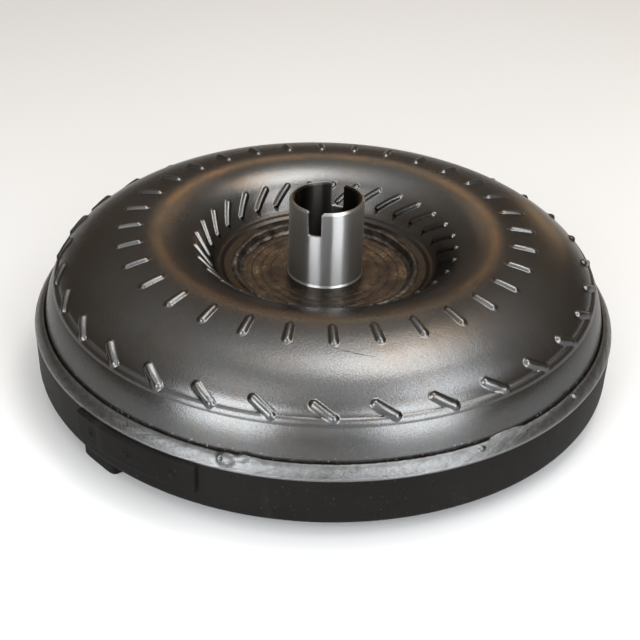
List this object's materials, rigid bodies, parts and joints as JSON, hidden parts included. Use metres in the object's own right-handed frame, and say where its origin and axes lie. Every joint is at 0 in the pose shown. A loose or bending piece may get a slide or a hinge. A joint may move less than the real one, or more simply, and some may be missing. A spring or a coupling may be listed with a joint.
{
  "type": "torque converter",
  "caption": "Sealed fluid torque converter with bladed pump shell, turbine, one-way-clutch stator and lock-up clutch inside; slotted drive hub on top, engine-side mounting lugs below.",
  "frame": {"origin": "on the turning axis, in the plane of the mounting lugs' faces", "axes": "+Z from the engine side to the transmission side along the pump hub; the hub's two drive slots open along -Y and +Y; lug 1 lies 3 degrees from +X towards +Y"},
  "size_m": [0.298, 0.3006, 0.0918],
  "materials": {
    "dark_steel": "semi-gloss dark gunmetal, oxidised sheet steel",
    "skirt_steel": "matte near-black brown",
    "weld_steel": "rough bare weld bead",
    "ground_steel": "bright ground steel",
    "plain_steel": "bare pressed steel",
    "spring_steel": "oil-tempered spring steel",
    "cast_aluminium": "as cast",
    "friction_paper": "brown friction paper and seal material",
    "bronze": "plain thrust-washer bronze"
  },
  "bodies": {
    "housing": {"front_cover": "skirt_steel", "pilot_boss": "plain_steel", "mounting_lug_1": "skirt_steel", "mounting_lug_2": "skirt_steel", "mounting_lug_3": "skirt_steel", "closure_weld": "weld_steel", "impeller_shell": "dark_steel", "impeller_core": "plain_steel", "pump_hub": "ground_steel", "hub_weld": "weld_steel", "balance_weight": "skirt_steel", "cover_thrust_washer": "bronze"},
    "turbine": {"turbine_shell": "plain_steel", "turbine_core": "plain_steel", "turbine_hub": "plain_steel", "turbine_rivet_1": "plain_steel", "turbine_rivet_2": "plain_steel", "turbine_rivet_3": "plain_steel", "turbine_rivet_4": "plain_steel", "turbine_rivet_5": "plain_steel", "turbine_rivet_6": "plain_steel", "damper_driven_ring": "plain_steel", "piston_seal": "friction_paper"},
    "damper": {"damper_spring_retainer": "plain_steel", "damper_spring_1": "spring_steel", "damper_spring_2": "spring_steel", "damper_spring_3": "spring_steel", "damper_spring_4": "spring_steel", "damper_spring_5": "spring_steel", "damper_spring_6": "spring_steel"},
    "piston": {"lockup_piston": "plain_steel", "friction_lining": "friction_paper"},
    "stator_support_race": {"clutch_inner_race": "ground_steel", "turbine_thrust_bearing": "ground_steel"},
    "stator": {"stator_wheel": "cast_aluminium", "stator_shroud": "cast_aluminium", "clutch_cam_race": "plain_steel", "clutch_roller_1": "ground_steel", "clutch_roller_2": "ground_steel", "clutch_roller_3": "ground_steel", "clutch_roller_4": "ground_steel", "clutch_roller_5": "ground_steel", "clutch_roller_6": "ground_steel", "clutch_roller_7": "ground_steel", "clutch_roller_8": "ground_steel"},
    "pump_bearing": {"pump_thrust_bearing": "ground_steel"}
  },
  "joints": [
    {"name": "turbine_spin", "type": "hinge", "parent": "housing", "child": "turbine", "pos_m": [0, 0, 0.03], "axis": [0, 0, 1], "continuous": true},
    {"name": "damper_twist", "type": "hinge", "parent": "turbine", "child": "damper", "pos_m": [0, 0, 0.02], "axis": [0, 0, 1], "range_deg": [-8, 8], "stiffness_Nm_per_rad": 600, "deforming": ["damper_spring_1", "damper_spring_2", "damper_spring_3", "damper_spring_4", "damper_spring_5", "damper_spring_6"]},
    {"name": "lockup_apply", "type": "slide", "parent": "damper", "child": "piston", "axis": [0, 0, -1], "range_m": [0, 0.0008]},
    {"name": "stator_race_spin", "type": "hinge", "parent": "housing", "child": "stator_support_race", "pos_m": [0, 0, 0.036], "axis": [0, 0, 1], "continuous": true},
    {"name": "stator_freewheel", "type": "hinge", "parent": "stator_support_race", "child": "stator", "pos_m": [0, 0, 0.036], "axis": [0, 0, 1], "continuous": true},
    {"name": "pump_bearing_spin", "type": "hinge", "parent": "housing", "child": "pump_bearing", "pos_m": [0, 0, 0.0446], "axis": [0, 0, 1], "continuous": true}
  ]
}
